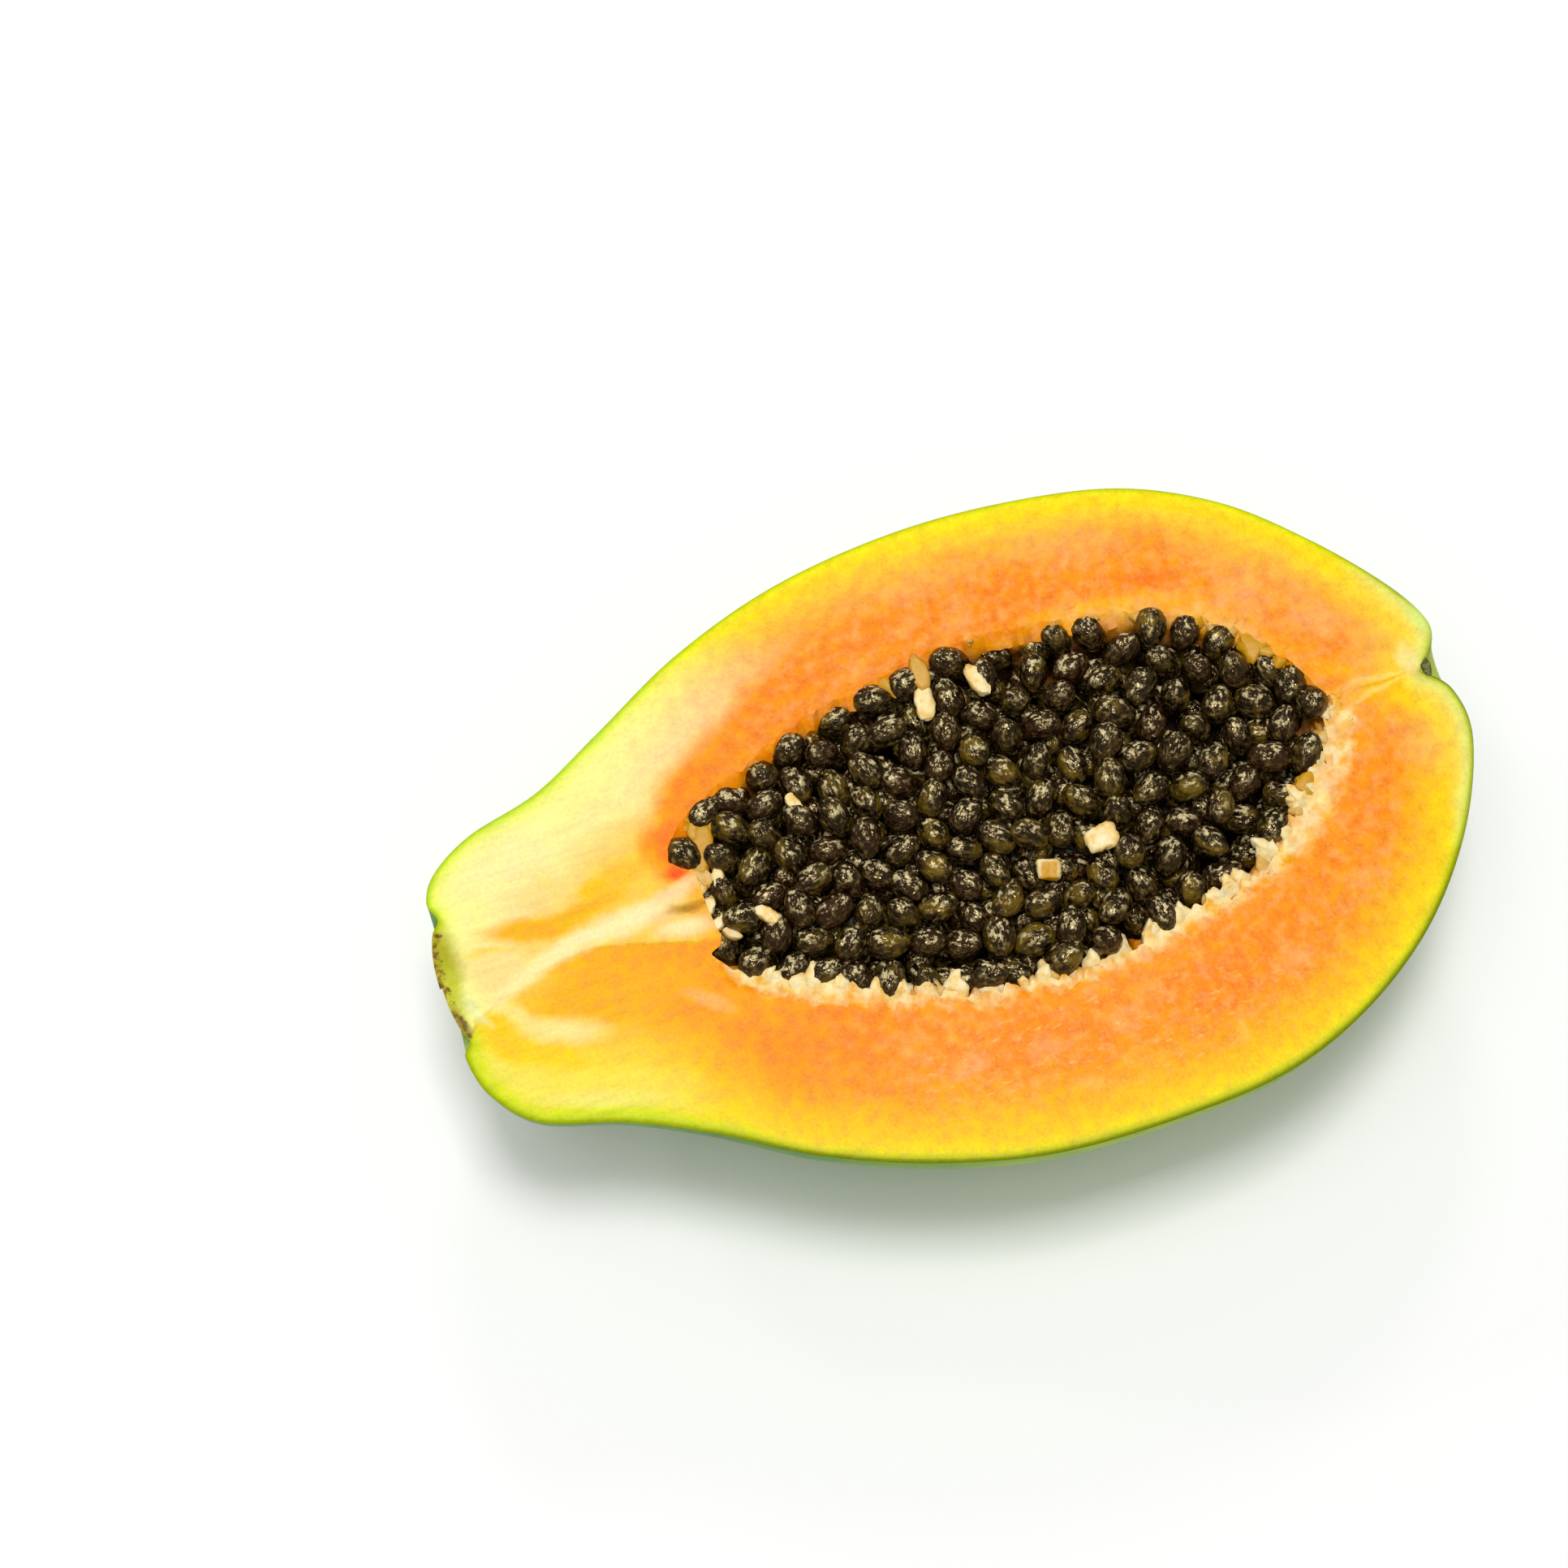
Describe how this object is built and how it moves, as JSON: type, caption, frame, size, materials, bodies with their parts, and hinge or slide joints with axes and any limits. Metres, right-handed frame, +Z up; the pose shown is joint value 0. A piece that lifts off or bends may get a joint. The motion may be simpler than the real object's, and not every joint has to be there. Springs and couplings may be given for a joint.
{
  "type": "papaya half",
  "caption": "Half a papaya cut lengthwise, lying on its back with the cut face up, its hollow heaped with dark round seeds.",
  "frame": {"origin": "on the surface that the half rests on, under the middle of its box", "axes": "+X from the stem end to the blossom end, +Z up, out of the cut face"},
  "size_m": [0.1674, 0.1038, 0.053],
  "materials": {
    "flesh": "moist orange fruit flesh, green waxy skin outside",
    "seed_coat": "wet, wrinkled, glossy dark brown",
    "pale_lining": "soft, moist, pale cream"
  },
  "bodies": {
    "root": {"fruit_half": "flesh", "seed_pile": "seed_coat", "scrap_lobed": "pale_lining", "scrap_square": "pale_lining", "scrap_left": "pale_lining", "scrap_thin": "pale_lining", "scrap_far": "pale_lining"}
  },
  "joints": []
}
